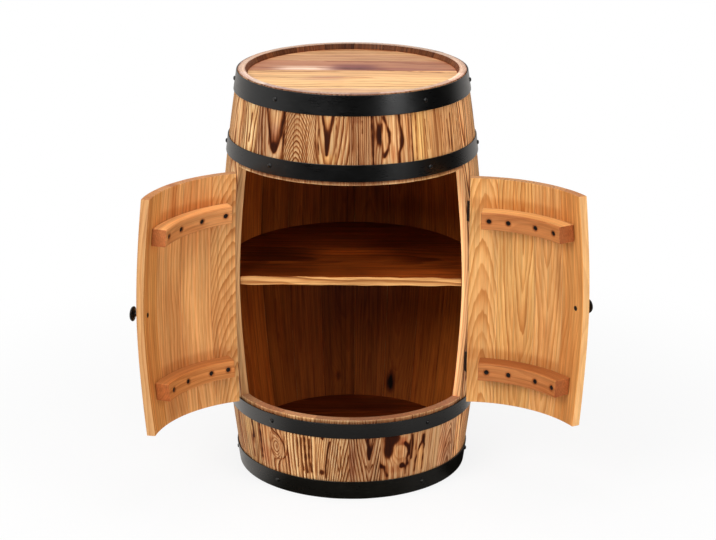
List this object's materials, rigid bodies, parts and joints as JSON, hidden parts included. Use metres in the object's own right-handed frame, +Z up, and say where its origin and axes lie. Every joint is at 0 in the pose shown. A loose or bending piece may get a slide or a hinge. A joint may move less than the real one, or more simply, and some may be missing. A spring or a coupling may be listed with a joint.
{
  "type": "barrel bar cabinet",
  "caption": "Wooden barrel cabinet with black steel hoops, hinged front doors cut from its staves and a shelf inside, for keeping bottles and glasses.",
  "frame": {"origin": "on the ground, under the middle of the bounding box with both doors as far open as in the picture; the barrel's own upright axis stands at x -24.85 mm, y 37.97 mm", "axes": "+Z up, -Y towards the door side, +X to the right when facing the doors"},
  "size_m": [0.8588, 0.5892, 0.8],
  "materials": {
    "burnt_stave_wood": "burnt and brushed softwood, dark growth rings, satin varnish",
    "door_stave_wood": "smooth golden softwood inside, satin varnish",
    "batten_wood": "reddish softwood, satin varnish",
    "lid_wood": "edge-joined softwood boards, satin varnish",
    "dark_inner_wood": "dark stained softwood, satin",
    "hoop_steel": "satin black painted steel strip",
    "hinge_steel": "black painted steel",
    "knob_black": "black lacquered metal"
  },
  "bodies": {
    "barrel": {"floor_panel": "dark_inner_wood", "hinge_left_lower_frame_leaf": "hinge_steel", "hinge_left_upper_frame_leaf": "hinge_steel", "hinge_right_lower_frame_leaf": "hinge_steel", "hinge_right_upper_frame_leaf": "hinge_steel", "hoop_bottom": "hoop_steel", "hoop_lower": "hoop_steel", "hoop_top": "hoop_steel", "hoop_upper": "hoop_steel", "lid_panel": "lid_wood", "shelf_board": "dark_inner_wood", "stave_lower_01": "burnt_stave_wood", "stave_lower_02": "burnt_stave_wood", "stave_lower_03": "burnt_stave_wood", "stave_lower_04": "burnt_stave_wood", "stave_lower_05": "burnt_stave_wood", "stave_lower_06": "burnt_stave_wood", "stave_lower_07": "burnt_stave_wood", "stave_lower_08": "burnt_stave_wood", "stave_side_01": "burnt_stave_wood", "stave_side_02": "burnt_stave_wood", "stave_side_03": "burnt_stave_wood", "stave_side_04": "burnt_stave_wood", "stave_side_05": "burnt_stave_wood", "stave_side_06": "burnt_stave_wood", "stave_side_07": "burnt_stave_wood", "stave_side_08": "burnt_stave_wood", "stave_side_09": "burnt_stave_wood", "stave_side_10": "burnt_stave_wood", "stave_side_11": "burnt_stave_wood", "stave_side_12": "burnt_stave_wood", "stave_side_13": "burnt_stave_wood", "stave_side_14": "burnt_stave_wood", "stave_upper_01": "burnt_stave_wood", "stave_upper_02": "burnt_stave_wood", "stave_upper_03": "burnt_stave_wood", "stave_upper_04": "burnt_stave_wood", "stave_upper_05": "burnt_stave_wood", "stave_upper_06": "burnt_stave_wood", "stave_upper_07": "burnt_stave_wood", "stave_upper_08": "burnt_stave_wood"},
    "door_left": {"door_left_batten_lower": "batten_wood", "door_left_batten_upper": "batten_wood", "door_left_knob": "knob_black", "door_left_stave_1": "door_stave_wood", "door_left_stave_2": "door_stave_wood", "door_left_stave_3": "door_stave_wood", "door_left_stave_4": "door_stave_wood", "hinge_left_lower_door_leaf": "hinge_steel", "hinge_left_upper_door_leaf": "hinge_steel"},
    "door_right": {"door_right_batten_lower": "batten_wood", "door_right_batten_upper": "batten_wood", "door_right_knob": "knob_black", "door_right_stave_1": "door_stave_wood", "door_right_stave_2": "door_stave_wood", "door_right_stave_3": "door_stave_wood", "door_right_stave_4": "door_stave_wood", "hinge_right_lower_door_leaf": "hinge_steel", "hinge_right_upper_door_leaf": "hinge_steel"}
  },
  "joints": [
    {"name": "hinge_left", "type": "hinge", "parent": "barrel", "child": "door_left", "pos_m": [-0.25018, -0.08833, 0.4], "axis": [0, 0, -1], "range_deg": [-98.6, 71.4]},
    {"name": "hinge_right", "type": "hinge", "parent": "barrel", "child": "door_right", "pos_m": [0.20047, -0.08833, 0.4], "axis": [0, 0, 1], "range_deg": [-117.6, 52.4]}
  ]
}
